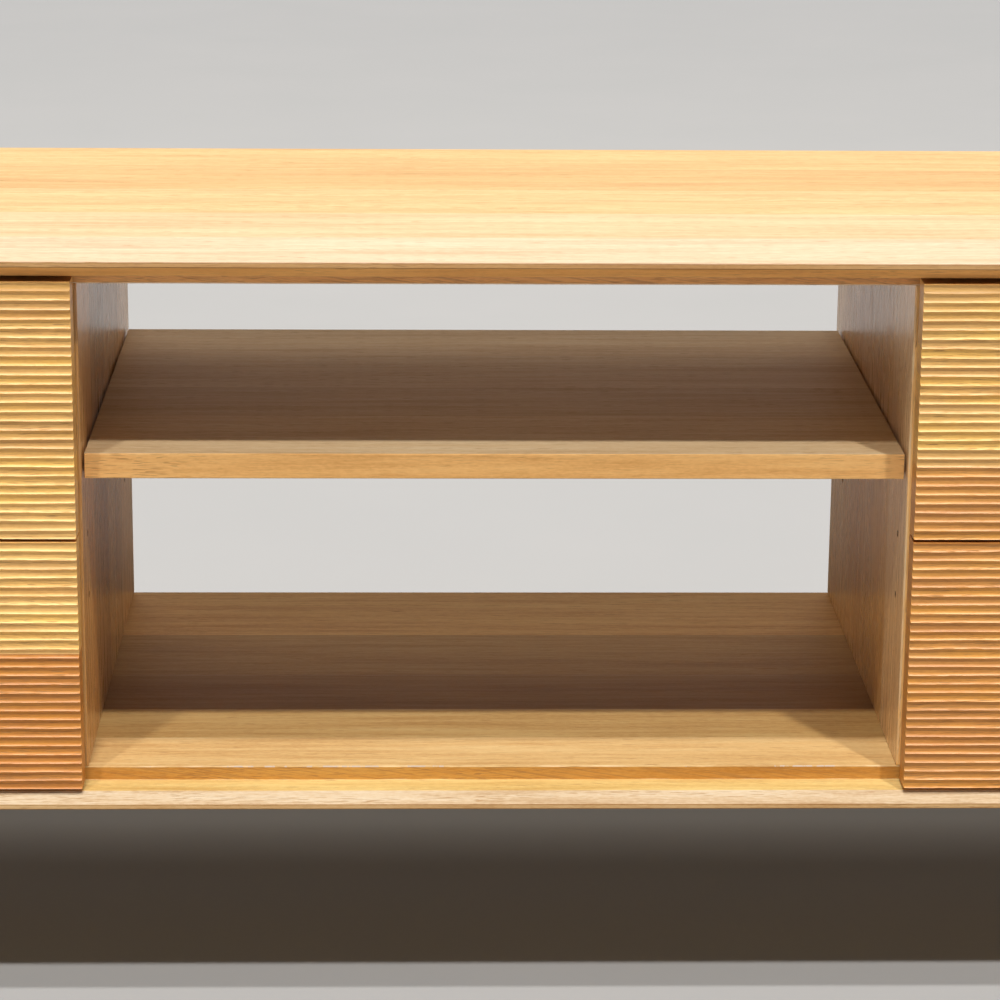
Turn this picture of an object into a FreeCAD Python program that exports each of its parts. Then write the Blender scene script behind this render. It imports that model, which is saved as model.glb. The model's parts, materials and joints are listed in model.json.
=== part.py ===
"""Low media cabinet in oak: three bays, an open middle bay with one shelf, and four
fluted drawers without handles that open by a push.

Frame: millimetres, +Z up, the front faces -Y, and the origin is on the floor under the
middle of the case. "left" and "right" are as seen from the front.
"""
import FreeCAD, Part
import os
import Sketcher

DRIVING_SIZES = (
    ("overall_width", 1800, "over the end panels"),
    ("overall_depth", 450, "front edge of the case to its back edge"),
    ("case_height", 390, "underside of the case to its top"),
    ("leg_height", 150, "floor to the underside of the case"),
    ("board", 21, "thickness of the case panels and dividers"),
    ("lip", 3.5, "flat strip left along the front edge of an outer panel"),
    ("bevel_rise", 7.5, "bevel behind the lip, across the panel's thickness"),
    ("bevel_run", 8.5, "bevel behind the lip, front to back"),
    ("rebate_run", 31, "front edge of the case back to the dividers' front edges"),
    ("spline_gauge", 4, "thickness of the splines in the mitred corners"),
    ("spline_width", 12, "width of a spline, half of it in each panel"),
    ("spline_level", 12.6, "outer faces of the panels to the middle of a spline"),
    ("spline_front", 40, "front edge of the case to the end of a spline"),
    ("spline_back", 25, "back edge of the case to the other end of a spline"),
    ("dowel_diameter", 8, "dowels between the dividers and the panels"),
    ("dowel_in_divider", 20, "length of a dowel in the divider"),
    ("dowel_in_panel", 10, "length of a dowel in the panel"),
    ("dowel_first", 60, "divider's front edge to its first dowel"),
    ("dowel_step", 150, "dowel to dowel"),
    ("back_board", 9, "thickness of the two back panels"),
    ("back_inset", 6, "back panels in from the case's back edge"),
    ("shelf_board", 18, "thickness of the shelf"),
    ("shelf_depth", 390, "shelf, front to back"),
    ("shelf_setback", 7, "shelf's front edge behind the dividers' front edges"),
    ("shelf_play", 1.5, "gap at each end of the shelf"),
    ("shelf_lift", 0.3, "shelf's underside above the crown of its pins"),
    ("pin_diameter", 5, "shelf pins and their holes"),
    ("pin_reach", 8, "length of a pin outside its hole"),
    ("pin_hole_depth", 10, "depth of the pin holes"),
    ("collar_diameter", 8, "collar of a shelf pin"),
    ("collar_gauge", 1, "thickness of that collar"),
    ("pin_row_front", 37, "dividers' front edges to the first column of pin holes"),
    ("pin_row_spacing", 310, "front column of pin holes to the rear one"),
    ("pin_level", 227, "underside of the case to the pin holes in use"),
    ("pin_step", 45, "pin hole to pin hole, downwards"),
    ("front_height", 180, "height of a drawer front"),
    ("front_gauge", 21.5, "thickness of a drawer front at its ridges"),
    ("front_inset", 4.5, "ridges of the drawer fronts behind the case's front edge"),
    ("flute_count", 28, "flutes on a drawer front"),
    ("flute_depth", 1.6, "depth of a flute below its ridges"),
    ("flute_relief", 0.2, "stock taken off in front of the ridges"),
    ("gap_below", 2.5, "gap under the lower drawer fronts"),
    ("gap_between", 2, "gap between an upper and a lower drawer front"),
    ("gap_outer", 2.5, "gap between a drawer front and the end panel's ledge"),
    ("divider_showing", 2, "strip of the divider's edge that a front leaves bare"),
    ("box_length", 400, "drawer box, front to back"),
    ("box_height", 140, "drawer box"),
    ("box_board", 12, "thickness of the drawer box's boards"),
    ("box_lift", 17.5, "lower edge of the drawer box above its front's lower edge"),
    ("floor_board", 6, "thickness of the drawer's bottom"),
    ("groove_depth", 6, "groove that holds the drawer's bottom"),
    ("groove_level", 10, "lower edge of the drawer box to that groove"),
    ("slide_space", 13, "gap at each side of the drawer box, filled by its slide"),
    ("rail_length", 400, "each of the three rails of a slide"),
    ("rail_start", 3, "divider's front edge to the cabinet rail, and so for the others"),
    ("rail_gauge", 1.2, "sheet thickness of the rails"),
    ("cabinet_rail_height", 45, "outer rail, on the case"),
    ("cabinet_rail_reach", 10, "outer rail, out from the case's wall"),
    ("middle_rail_height", 38, "intermediate rail"),
    ("middle_rail_start", 3, "case's wall to the back of the intermediate rail"),
    ("middle_rail_reach", 11, "case's wall to the lips of the intermediate rail"),
    ("drawer_rail_height", 31.4, "inner rail, on the drawer box"),
    ("drawer_rail_start", 6, "case's wall to the lips of the inner rail"),
    ("screw_diameter", 4, "shank of the wood screws"),
    ("screw_head_diameter", 8, "head of the wood screws"),
    ("screw_head_height", 2.4, "head of the wood screws"),
    ("front_screw_bite", 14, "length of a front's screw inside the drawer front"),
    ("front_screw_spread", 360, "left screws of a front to its right ones"),
    ("front_screw_rise", 80, "lower screws of a front to its upper ones"),
    ("latch_diameter", 10, "push latch, let into the divider's front edge"),
    ("latch_length", 50, "push latch inside the divider"),
    ("latch_flange_diameter", 14, "flange of the push latch"),
    ("latch_flange_gauge", 1.5, "flange of the push latch"),
    ("plunger_diameter", 5, "plunger of the push latch"),
    ("plunger_play", 0.08, "radial clearance round the plunger"),
    ("plunger_length", 23, "plunger, tip to tail"),
    ("plunger_gap", 0.4, "plunger's tip to the back of the closed drawer front"),
    ("latch_bore_depth", 30, "bore that the plunger runs in, from the flange's face"),
    ("leg_top_diameter", 42, "leg at its plate"),
    ("leg_foot_diameter", 26, "leg at its glide"),
    ("leg_inset_side", 80, "end face of the case to a leg's axis"),
    ("leg_inset_front", 62, "front or back edge of the case to a leg's axis"),
    ("plate_side", 70, "square mounting plate of a leg"),
    ("plate_gauge", 2.5, "thickness of that plate"),
    ("plate_screw_pitch", 50, "screw to screw on that plate"),
    ("plate_screw_bite", 14, "length of a plate screw inside the case"),
    ("leg_bolt_diameter", 8, "bolt that joins a leg to its plate"),
    ("leg_bolt_bite", 30, "length of that bolt inside the leg"),
    ("glide_diameter", 22, "glide under a leg"),
    ("glide_height", 3, "glide under a leg"),
)

# Places worked out from the driving sizes.
FRONT = "(-dims.overall_depth / 2)"
BACK = "(dims.overall_depth / 2)"
UNDERSIDE = "dims.leg_height"
TOP = "(dims.leg_height + dims.case_height)"
LEDGE = "(dims.lip + dims.bevel_rise)"
BAY_WIDTH = "((dims.overall_width - 4 * dims.board) / 3)"
BAY_HEIGHT = "(dims.case_height - 2 * dims.board)"
BAY_FLOOR = f"({UNDERSIDE} + dims.board)"
DIVIDER_FRONT = f"({FRONT} + dims.rebate_run)"
DIVIDER_DEPTH = "(dims.overall_depth - dims.rebate_run)"
DIVIDER_AXIS = f"({BAY_WIDTH} / 2 + dims.board / 2)"
SIDE_BAY_START = f"({BAY_WIDTH} / 2 + dims.board)"
SIDE_BAY_AXIS = f"({SIDE_BAY_START} + {BAY_WIDTH} / 2)"
RIDGES = f"({FRONT} + dims.front_inset)"
FRONT_REAR_FACE = f"({RIDGES} + dims.front_gauge)"
FRONT_INNER_END = f"({BAY_WIDTH} / 2 + dims.divider_showing)"
FRONT_OUTER_END = f"(dims.overall_width / 2 - {LEDGE} - dims.gap_outer)"
FRONT_WIDTH = f"({FRONT_OUTER_END} - {FRONT_INNER_END})"
FRONT_AXIS = f"(({FRONT_OUTER_END} + {FRONT_INNER_END}) / 2)"
FLUTE_PITCH = "(dims.front_height / dims.flute_count)"
FLUTE_RADIUS = f"({FLUTE_PITCH} * {FLUTE_PITCH} / 8 / dims.flute_depth + dims.flute_depth / 2)"
BOX_WIDTH = f"({BAY_WIDTH} - 2 * dims.slide_space)"
RAIL_FRONT = f"({DIVIDER_FRONT} + dims.rail_start)"
SPLINE_LENGTH = "(dims.overall_depth - dims.spline_front - dims.spline_back)"
SLANT = "sqrt(0.5)"

SIDES = {"left": -1, "right": 1}
ENDS = {"front": -1, "rear": 1}
PIN_LEVELS = 3
DOWELS_PER_JOINT = 3

doc = FreeCAD.newDocument("media_cabinet")
dims = doc.addObject("Spreadsheet::Sheet", "dims")
for row, (alias, size, meaning) in enumerate(DRIVING_SIZES, start=1):
    dims.set(f"A{row}", alias)
    dims.set(f"B{row}", str(size))
    dims.set(f"C{row}", meaning)
    dims.setAlias(f"B{row}", alias)
doc.recompute()

subparts = []


# ---------------------------------------------------------------- helpers

def value(expression):
    """The number that an expression over the sheet gives now."""
    result = dims.evalExpression(expression)
    return float(getattr(result, "Value", result))


def bind(obj, **expressions):
    """Bind properties of an object; an underscore in a name stands for a dot."""
    for name, expression in expressions.items():
        obj.setExpression(name.replace("_", "."), expression)


def place(obj, x="0", y="0", z="0", turn=None):
    """Bind an object's position to the sheet and give it its fixed turn."""
    if turn is not None:
        obj.Placement = FreeCAD.Placement(FreeCAD.Vector(), FreeCAD.Rotation(*turn))
    bind(obj, Placement_Base_x=x, Placement_Base_y=y, Placement_Base_z=z)
    return obj


def keep(obj, label):
    """Register an object as a sub-part under its own label."""
    obj.Label = label
    subparts.append(obj)
    return obj


def add(kind, name):
    return doc.addObject(kind, name)


def block(name, length, width, height, x="0", y="0", z="0", turn=None):
    """A rectangular block, placed by its lowest corner."""
    obj = add("Part::Box", name)
    bind(obj, Length=length, Width=width, Height=height)
    return place(obj, x, y, z, turn)


def rod(name, diameter, length, x="0", y="0", z="0", turn=None):
    """A round bar that starts at the given place and runs along its own +Z."""
    obj = add("Part::Cylinder", name)
    bind(obj, Radius=f"({diameter}) / 2", Height=length)
    return place(obj, x, y, z, turn)


def cut(name, base, *tools):
    """The base less the tools."""
    obj = add("Part::Cut", name)
    obj.Base = base
    obj.Tool = tools[0] if len(tools) == 1 else group(name + "_tools", tools)
    return obj


def fuse(name, *pieces):
    obj = add("Part::MultiFuse", name)
    obj.Shapes = list(pieces)
    return obj


def group(name, pieces):
    """Separate solids kept together."""
    obj = add("Part::Compound", name)
    obj.Links = list(pieces)
    return obj


ALONG_X = (FreeCAD.Vector(0, 1, 0), 90)
AGAINST_X = (FreeCAD.Vector(0, 1, 0), -90)
ALONG_Y = (FreeCAD.Vector(1, 0, 0), -90)
AGAINST_Y = (FreeCAD.Vector(1, 0, 0), 90)
DOWN = (FreeCAD.Vector(1, 0, 0), 180)


def new_body(name):
    return doc.addObject("PartDesign::Body", name)


def new_sketch(body, name, role, offset="0"):
    """A sketch on one of the body's own origin planes, moved along its normal."""
    sketch = body.newObject("Sketcher::SketchObject", name)
    plane = next(p for p in body.Origin.OriginFeatures if p.Role == role)
    sketch.AttachmentSupport = (plane, [""])
    sketch.MapMode = "FlatFace"
    sketch.setExpression("AttachmentOffset.Base.z", offset)
    return sketch


def pin_point(sketch, geometry, vertex, x, y):
    """Fix a point of the sketch at expressions x and y."""
    for kind, axis, expression in (("DistanceX", -2, x), ("DistanceY", -1, y)):
        distance = value(expression)
        if abs(distance) < 1e-9:
            sketch.addConstraint(Sketcher.Constraint("PointOnObject", geometry, vertex, axis))
            continue
        number = sketch.addConstraint(
            Sketcher.Constraint(kind, -1, 1, geometry, vertex, distance))
        sketch.setExpression(f"Constraints[{number}]", expression)


def draw_outline(sketch, points):
    """A closed outline of straight lines through the points."""
    spots = [FreeCAD.Vector(value(x), value(y), 0) for x, y in points]
    first = sketch.GeometryCount
    for index, spot in enumerate(spots):
        following = spots[(index + 1) % len(spots)]
        sketch.addGeometry(Part.LineSegment(spot, following), False)
    for index, (x, y) in enumerate(points):
        following = first + (index + 1) % len(points)
        sketch.addConstraint(
            Sketcher.Constraint("Coincident", first + index, 2, following, 1))
        pin_point(sketch, first + index, 1, x, y)


def draw_circle(sketch, x, y, diameter):
    centre = FreeCAD.Vector(value(x), value(y), 0)
    circle = Part.Circle(centre, FreeCAD.Vector(0, 0, 1), value(diameter) / 2)
    number = sketch.addGeometry(circle, False)
    pin_point(sketch, number, 3, x, y)
    size = sketch.addConstraint(Sketcher.Constraint("Diameter", number, value(diameter)))
    sketch.setExpression(f"Constraints[{size}]", diameter)


def pad(body, sketch, length, midplane=False):
    feature = body.newObject("PartDesign::Pad", sketch.Name + "_pad")
    feature.Profile = sketch
    feature.Midplane = midplane
    feature.setExpression("Length", length)
    sketch.Visibility = False
    doc.recompute()
    return feature


def pocket(body, sketch, depth=None, forwards=False):
    """Cut a sketch into the body, and make sure that the cut took something away."""
    before = body.Shape.Volume
    feature = body.newObject("PartDesign::Pocket", sketch.Name + "_pocket")
    feature.Profile = sketch
    feature.Reversed = forwards
    if depth is None:
        feature.Type = "ThroughAll"
        feature.Midplane = True
    else:
        feature.setExpression("Length", depth)
    sketch.Visibility = False
    doc.recompute()
    if body.Shape.Volume > before - 1:
        raise RuntimeError(f"{feature.Name} cuts nothing")
    return feature


# ---------------------------------------------------------------- case

def outer_panel(name, length):
    """A case panel with its outer face down: lip, bevel, ledge and rebate along the
    front edge, and both ends mitred and slotted for a spline."""
    body = new_body(name)
    outline = new_sketch(body, name + "_section", "YZ_Plane")
    draw_outline(outline, (
        ("0", "0"),
        ("dims.overall_depth", "0"),
        ("dims.overall_depth", "dims.board"),
        ("dims.rebate_run", "dims.board"),
        ("dims.rebate_run", LEDGE),
        ("dims.bevel_run", LEDGE),
        ("0", "dims.lip"),
    ))
    pad(body, outline, length, midplane=True)

    mitres = new_sketch(body, name + "_mitres", "XZ_Plane")
    for side in SIDES.values():
        end = f"({side} * {length} / 2)"
        draw_outline(mitres, (
            (end, "0"),
            (end, "dims.board"),
            (f"{end} - {side} * dims.board", "dims.board"),
        ))
    pocket(body, mitres)

    slots = new_sketch(body, name + "_slots", "XZ_Plane", "-dims.spline_front")
    across = f"(dims.spline_gauge / 2 * {SLANT})"
    along = f"(dims.spline_width / 2 * {SLANT})"
    for side in SIDES.values():
        foot = f"{side} * ({length} / 2 - dims.spline_level"
        draw_outline(slots, (
            (f"{foot} - {across})", f"dims.spline_level + {across}"),
            (f"{foot} + {across})", f"dims.spline_level - {across}"),
            (f"{foot} + {across} - {along})", f"dims.spline_level - {across} - {along}"),
            (f"{foot} - {across} - {along})", f"dims.spline_level + {across} - {along}"),
        ))
    pocket(body, slots, SPLINE_LENGTH)
    return body


def dowel_distance(index):
    """From a divider's front edge to one of its dowels."""
    return f"(dims.dowel_first + {index} * dims.dowel_step)"


def bore_dowel_holes(body):
    """Blind holes in a panel's inner face for the dividers' dowels."""
    holes = new_sketch(body, body.Name + "_dowel_holes", "XY_Plane", "dims.board")
    for side in SIDES.values():
        for index in range(DOWELS_PER_JOINT):
            draw_circle(holes, f"{side} * {DIVIDER_AXIS}",
                        f"dims.rebate_run + {dowel_distance(index)}", "dims.dowel_diameter")
    pocket(body, holes, "dims.dowel_in_panel")


def leg_places():
    """Name, X and Y of each leg's axis."""
    for end, toward in ENDS.items():
        for side, sign in SIDES.items():
            x = f"({sign} * (dims.overall_width / 2 - dims.leg_inset_side))"
            y = f"({toward} * (dims.overall_depth / 2 - dims.leg_inset_front))"
            yield f"{end}_{side}", x, y


def plate_screw_places(x, y):
    """X and Y of the four screws round a leg's axis."""
    for side in SIDES.values():
        for end in ENDS.values():
            yield (f"{x} + {side} * dims.plate_screw_pitch / 2",
                   f"{y} + {end} * dims.plate_screw_pitch / 2")


def make_case_panels():
    bottom = outer_panel("bottom", "dims.overall_width")
    bore_dowel_holes(bottom)
    holes = new_sketch(bottom, "bottom_leg_screw_holes", "XY_Plane")
    for _, x, y in leg_places():
        for screw_x, screw_y in plate_screw_places(x, y):
            draw_circle(holes, screw_x, f"{screw_y} + dims.overall_depth / 2", "dims.screw_diameter")
    pocket(bottom, holes, "dims.plate_screw_bite", forwards=True)
    keep(place(bottom, y=FRONT, z=UNDERSIDE), "bottom_panel")

    top = outer_panel("top", "dims.overall_width")
    bore_dowel_holes(top)
    half_turn = (FreeCAD.Vector(0, 1, 0), 180)
    keep(place(top, y=FRONT, z=TOP, turn=half_turn), "top_panel")

    for side, sign in SIDES.items():
        end = outer_panel(side + "_end", "dims.case_height")
        turn = ALONG_X if sign < 0 else AGAINST_X
        middle = f"{UNDERSIDE} + dims.case_height / 2"
        keep(place(end, f"{sign} * dims.overall_width / 2", FRONT, middle, turn),
             side + "_end_panel")


def make_divider(side, sign):
    """An upright between the bays. Its own X = 0 is the face towards the middle bay,
    and X grows away from that bay on the right, and the other way on the left."""
    body = new_body(side + "_upright")
    outline = new_sketch(body, side + "_upright_plan", "XY_Plane")
    far = f"{sign} * dims.board"
    draw_outline(outline, (("0", "0"), (far, "0"), (far, DIVIDER_DEPTH), ("0", DIVIDER_DEPTH)))
    pad(body, outline, BAY_HEIGHT)

    for end, offset, forwards in (("lower", "0", True), ("upper", BAY_HEIGHT, False)):
        holes = new_sketch(body, f"{side}_{end}_dowel_holes", "XY_Plane", offset)
        for index in range(DOWELS_PER_JOINT):
            draw_circle(holes, f"{sign} * dims.board / 2", dowel_distance(index),
                        "dims.dowel_diameter")
        pocket(body, holes, "dims.dowel_in_divider", forwards)

    latches = new_sketch(body, side + "_latch_holes", "XZ_Plane")
    for level in DRAWER_LEVELS:
        draw_circle(latches, f"{sign} * dims.board / 2",
                    f"{latch_height(level)} - {BAY_FLOOR}", "dims.latch_diameter")
    pocket(body, latches, "dims.latch_length")

    pins = new_sketch(body, side + "_pin_holes", "YZ_Plane")
    for column in (0, 1):
        for step in range(PIN_LEVELS):
            draw_circle(pins, pin_column(column), f"dims.pin_level - {step} * dims.pin_step - dims.board",
                        "dims.pin_diameter")
    pocket(body, pins, "dims.pin_hole_depth", forwards=sign > 0)
    place(body, f"{sign} * {BAY_WIDTH} / 2", DIVIDER_FRONT, BAY_FLOOR)
    keep(body, side + "_divider")


def pin_column(column):
    """From a divider's front edge to a column of pin holes."""
    return f"(dims.pin_row_front + {column} * dims.pin_row_spacing)"


def make_case_joinery():
    """Dowels at both ends of the dividers and splines in the four mitres."""
    pieces = []
    for side, sign in SIDES.items():
        for index in range(DOWELS_PER_JOINT):
            y = f"{DIVIDER_FRONT} + {dowel_distance(index)}"
            for end, z in (("lower", f"{BAY_FLOOR} - dims.dowel_in_panel"),
                           ("upper", f"{TOP} - dims.board - dims.dowel_in_divider")):
                pieces.append(rod(f"{side}_{end}_dowel_{index}", "dims.dowel_diameter",
                                  "dims.dowel_in_divider + dims.dowel_in_panel",
                                  f"{sign} * {DIVIDER_AXIS}", y, z))
    for side, sign in SIDES.items():
        for end, level, up in (("lower", UNDERSIDE, 1), ("upper", TOP, -1)):
            slope = sign * up
            tilt = (FreeCAD.Vector(0, 1, 0), -45 * slope)
            to_corner_x = f"(dims.spline_width - {slope} * dims.spline_gauge) / 2 * {SLANT}"
            to_corner_z = f"({slope} * dims.spline_width + dims.spline_gauge) / 2 * {SLANT}"
            pieces.append(block(
                f"{side}_{end}_spline", "dims.spline_width", SPLINE_LENGTH, "dims.spline_gauge",
                f"{sign} * (dims.overall_width / 2 - dims.spline_level) - {to_corner_x}",
                f"{FRONT} + dims.spline_front",
                f"{level} + {up} * dims.spline_level - {to_corner_z}", tilt))
    keep(group("case_joinery", pieces), "case_dowels_and_splines")


def make_back_panels():
    for side, sign in SIDES.items():
        panel = block(side + "_back", BAY_WIDTH, "dims.back_board", BAY_HEIGHT,
                      f"{sign} * {SIDE_BAY_AXIS} - {BAY_WIDTH} / 2",
                      f"{BACK} - dims.back_inset - dims.back_board", BAY_FLOOR)
        keep(panel, side + "_back_panel")


def make_shelf():
    width = f"({BAY_WIDTH} - 2 * dims.shelf_play)"
    pin_height = f"({UNDERSIDE} + dims.pin_level)"
    board = block("shelf_block", width, "dims.shelf_depth", "dims.shelf_board",
                  f"-{width} / 2", f"{DIVIDER_FRONT} + dims.shelf_setback",
                  f"{pin_height} + dims.pin_diameter / 2 + dims.shelf_lift")
    keep(board, "shelf")

    pins = []
    for side, sign in SIDES.items():
        turn = ALONG_X if sign < 0 else AGAINST_X
        wall = f"{sign} * {BAY_WIDTH} / 2"
        for column in (0, 1):
            y = f"{DIVIDER_FRONT} + {pin_column(column)}"
            shank = rod(f"{side}_pin_{column}_shank", "dims.pin_diameter",
                        "dims.pin_reach + dims.pin_hole_depth",
                        f"{wall} + {sign} * dims.pin_hole_depth", y, pin_height, turn)
            collar = rod(f"{side}_pin_{column}_collar", "dims.collar_diameter",
                         "dims.collar_gauge", wall, y, pin_height, turn)
            pins.append(fuse(f"{side}_pin_{column}", shank, collar))
    keep(group("pins", pins), "shelf_pins")


# ---------------------------------------------------------------- drawers

DRAWER_LEVELS = {
    "lower": f"({UNDERSIDE} + {LEDGE} + dims.gap_below)",
    "upper": f"({UNDERSIDE} + {LEDGE} + dims.gap_below + dims.front_height + dims.gap_between)",
}


def latch_height(level):
    """Height of a push latch: half way up its drawer front."""
    return f"({DRAWER_LEVELS[level]} + dims.front_height / 2)"


def front_screw_places():
    """X from the box's middle and Z from its lower edge of each screw of a front."""
    for side in SIDES.values():
        for end in ENDS.values():
            yield (f"({side} * dims.front_screw_spread / 2)",
                   f"(dims.box_height / 2 + {end} * dims.front_screw_rise / 2)")


def make_fluted_front(name, sign, level):
    """A drawer front. Its own Y = 0 is its ridge plane and Z = 0 its lower edge."""
    body = new_body(name + "_slab")
    outline = new_sketch(body, name + "_outline", "YZ_Plane")
    proud = "(-dims.flute_relief)"
    draw_outline(outline, (
        (proud, "0"),
        ("dims.front_gauge", "0"),
        ("dims.front_gauge", "dims.front_height"),
        (proud, "dims.front_height"),
    ))
    pad(body, outline, FRONT_WIDTH, midplane=True)

    hollow = new_sketch(body, name + "_flute", "YZ_Plane")
    draw_circle(hollow, f"dims.flute_depth - {FLUTE_RADIUS}", f"{FLUTE_PITCH} / 2",
                f"2 * {FLUTE_RADIUS}")
    first_flute = pocket(body, hollow)
    flutes = body.newObject("PartDesign::LinearPattern", name + "_flutes")
    flutes.Originals = [first_flute]
    flutes.Direction = (hollow, ["V_Axis"])
    flutes.setExpression("Length", f"dims.front_height - {FLUTE_PITCH}")
    flutes.Occurrences = int(value("dims.flute_count"))
    body.Tip = flutes
    doc.recompute()

    holes = new_sketch(body, name + "_screw_holes", "XZ_Plane", "-dims.front_gauge")
    shift = f"({sign} * ({SIDE_BAY_AXIS} - {FRONT_AXIS}))"
    for x, z in front_screw_places():
        draw_circle(holes, f"{shift} + {x}", f"dims.box_lift + {z}", "dims.screw_diameter")
    pocket(body, holes, "dims.front_screw_bite", forwards=True)
    place(body, f"{sign} * {FRONT_AXIS}", RIDGES, DRAWER_LEVELS[level])
    keep(body, name + "_front")


def make_drawer_box(name, sign, level):
    """Four boards round a thin bottom that sits in a groove."""
    left = f"({sign} * {SIDE_BAY_AXIS} - {BOX_WIDTH} / 2)"
    near = FRONT_REAR_FACE
    low = f"({DRAWER_LEVELS[level]} + dims.box_lift)"
    groove_floor = f"({low} + dims.groove_level)"
    inner_width = f"({BOX_WIDTH} - 2 * dims.box_board)"
    wall = "dims.box_board"
    lap = "(dims.box_board - dims.groove_depth)"

    for side, start, groove in (
            ("left", left, f"{left} + {lap}"),
            ("right", f"{left} + {BOX_WIDTH} - {wall}", f"{left} + {BOX_WIDTH} - {wall}")):
        board = block(f"{name}_{side}_board", wall, "dims.box_length", "dims.box_height", start, near, low)
        tool = block(f"{name}_{side}_groove", "dims.groove_depth", f"dims.box_length - 2 * {lap}",
                     "dims.floor_board", groove, f"{near} + {lap}", groove_floor)
        keep(cut(f"{name}_{side}", board, tool), f"{name}_{side}_side")

    far = f"({near} + dims.box_length - {wall})"
    board = block(f"{name}_rear_board", inner_width, wall, "dims.box_height", f"{left} + {wall}", far, low)
    tool = block(f"{name}_rear_groove", inner_width, "dims.groove_depth", "dims.floor_board",
                 f"{left} + {wall}", far, groove_floor)
    keep(cut(f"{name}_rear", board, tool), f"{name}_box_back")

    board = block(f"{name}_near_board", inner_width, wall, "dims.box_height", f"{left} + {wall}", near, low)
    tool = block(f"{name}_near_groove", inner_width, "dims.groove_depth", "dims.floor_board",
                 f"{left} + {wall}", f"{near} + {lap}", groove_floor)
    bores = [rod(f"{name}_bore_{index}", "dims.screw_diameter", wall,
                 f"{sign} * {SIDE_BAY_AXIS} + {x}", near, f"{low} + {z}", ALONG_Y)
             for index, (x, z) in enumerate(front_screw_places())]
    keep(cut(f"{name}_near", board, tool, *bores), f"{name}_box_front")

    bottom = block(f"{name}_floor", f"{BOX_WIDTH} - 2 * {lap}", f"dims.box_length - 2 * {lap}",
                   "dims.floor_board", f"{left} + {lap}", f"{near} + {lap}", groove_floor)
    keep(bottom, f"{name}_bottom")

    screws = []
    for index, (x, z) in enumerate(front_screw_places()):
        spot = (f"{sign} * {SIDE_BAY_AXIS} + {x}", f"{low} + {z}")
        shank = rod(f"{name}_shank_{index}", "dims.screw_diameter",
                    f"dims.front_screw_bite + {wall}",
                    spot[0], f"{near} - dims.front_screw_bite", spot[1], ALONG_Y)
        head = rod(f"{name}_head_{index}", "dims.screw_head_diameter", "dims.screw_head_height",
                   spot[0], f"{near} + {wall}", spot[1], ALONG_Y)
        screws.append(fuse(f"{name}_screw_{index}", shank, head))
    keep(group(name + "_screws", screws), f"{name}_front_screws")


def channel(name, height, start, reach, x_of_wall, facing, y, middle, open_to_drawer=True):
    """A C-shaped rail: its web and two lips, between two distances from the wall."""
    depth = f"({reach} - {start})"
    low_x = f"{x_of_wall} + {start}" if facing > 0 else f"{x_of_wall} - {reach}"
    outer = block(name + "_stock", depth, "dims.rail_length", height, low_x, y, f"{middle} - {height} / 2")
    web_at_low_x = (facing > 0) == open_to_drawer
    slot_x = f"{low_x} + dims.rail_gauge" if web_at_low_x else low_x
    inner = block(name + "_slot", f"{depth} - dims.rail_gauge", "dims.rail_length",
                  f"{height} - 2 * dims.rail_gauge", slot_x, y,
                  f"{middle} - {height} / 2 + dims.rail_gauge")
    return cut(name, outer, inner)


def rail_walls(sign):
    """The two walls of a side bay: where they are and which way they face."""
    middle = f"({sign} * {SIDE_BAY_AXIS})"
    yield "left", f"({middle} - {BAY_WIDTH} / 2)", 1
    yield "right", f"({middle} + {BAY_WIDTH} / 2)", -1


def make_slides():
    """Full-extension slides: one rail on the case, one between, one on the box."""
    cabinet_rails = []
    for side, sign in SIDES.items():
        for level, low in DRAWER_LEVELS.items():
            name = f"{level}_{side}"
            middle = f"({low} + dims.box_lift + dims.box_height / 2)"
            middle_rails = []
            drawer_rails = []
            for wall, x, facing in rail_walls(sign):
                cabinet_rails.append(channel(
                    f"{name}_{wall}_outer", "dims.cabinet_rail_height", "0",
                    "dims.cabinet_rail_reach", x, facing, RAIL_FRONT, middle))
                middle_rails.append(channel(
                    f"{name}_{wall}_between", "dims.middle_rail_height", "dims.middle_rail_start",
                    "dims.middle_rail_reach", x, facing, RAIL_FRONT, middle))
                drawer_rails.append(channel(
                    f"{name}_{wall}_inner", "dims.drawer_rail_height", "dims.drawer_rail_start",
                    "dims.slide_space", x, facing, RAIL_FRONT, middle, open_to_drawer=False))
            keep(group(name + "_between", middle_rails), f"{name}_middle_rails")
            keep(group(name + "_inner", drawer_rails), f"{name}_drawer_rails")
    keep(group("outer_rails", cabinet_rails), "cabinet_rails")


def make_push_latches():
    """A latch in the divider's front edge behind each drawer front, with a sprung plunger."""
    bodies = []
    bore = "dims.plunger_diameter + 2 * dims.plunger_play"
    mouth = f"({DIVIDER_FRONT} - dims.latch_flange_gauge)"
    for side, sign in SIDES.items():
        x = f"{sign} * {DIVIDER_AXIS}"
        for level in DRAWER_LEVELS:
            name = f"{level}_{side}"
            z = latch_height(level)
            barrel = rod(name + "_barrel", "dims.latch_diameter", "dims.latch_length",
                         x, DIVIDER_FRONT, z, ALONG_Y)
            flange = rod(name + "_flange", "dims.latch_flange_diameter", "dims.latch_flange_gauge",
                         x, mouth, z, ALONG_Y)
            hollow = rod(name + "_latch_bore", bore, "dims.latch_bore_depth", x, mouth, z, ALONG_Y)
            solid = fuse(name + "_latch_stock", barrel, flange)
            bodies.append(cut(name + "_latch", solid, hollow))
            plunger = rod(name + "_pin", "dims.plunger_diameter", "dims.plunger_length",
                          x, f"{FRONT_REAR_FACE} + dims.plunger_gap", z, ALONG_Y)
            keep(plunger, f"{name}_latch_plunger")
    keep(group("latches", bodies), "push_latch_bodies")


# ---------------------------------------------------------------- legs

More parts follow.
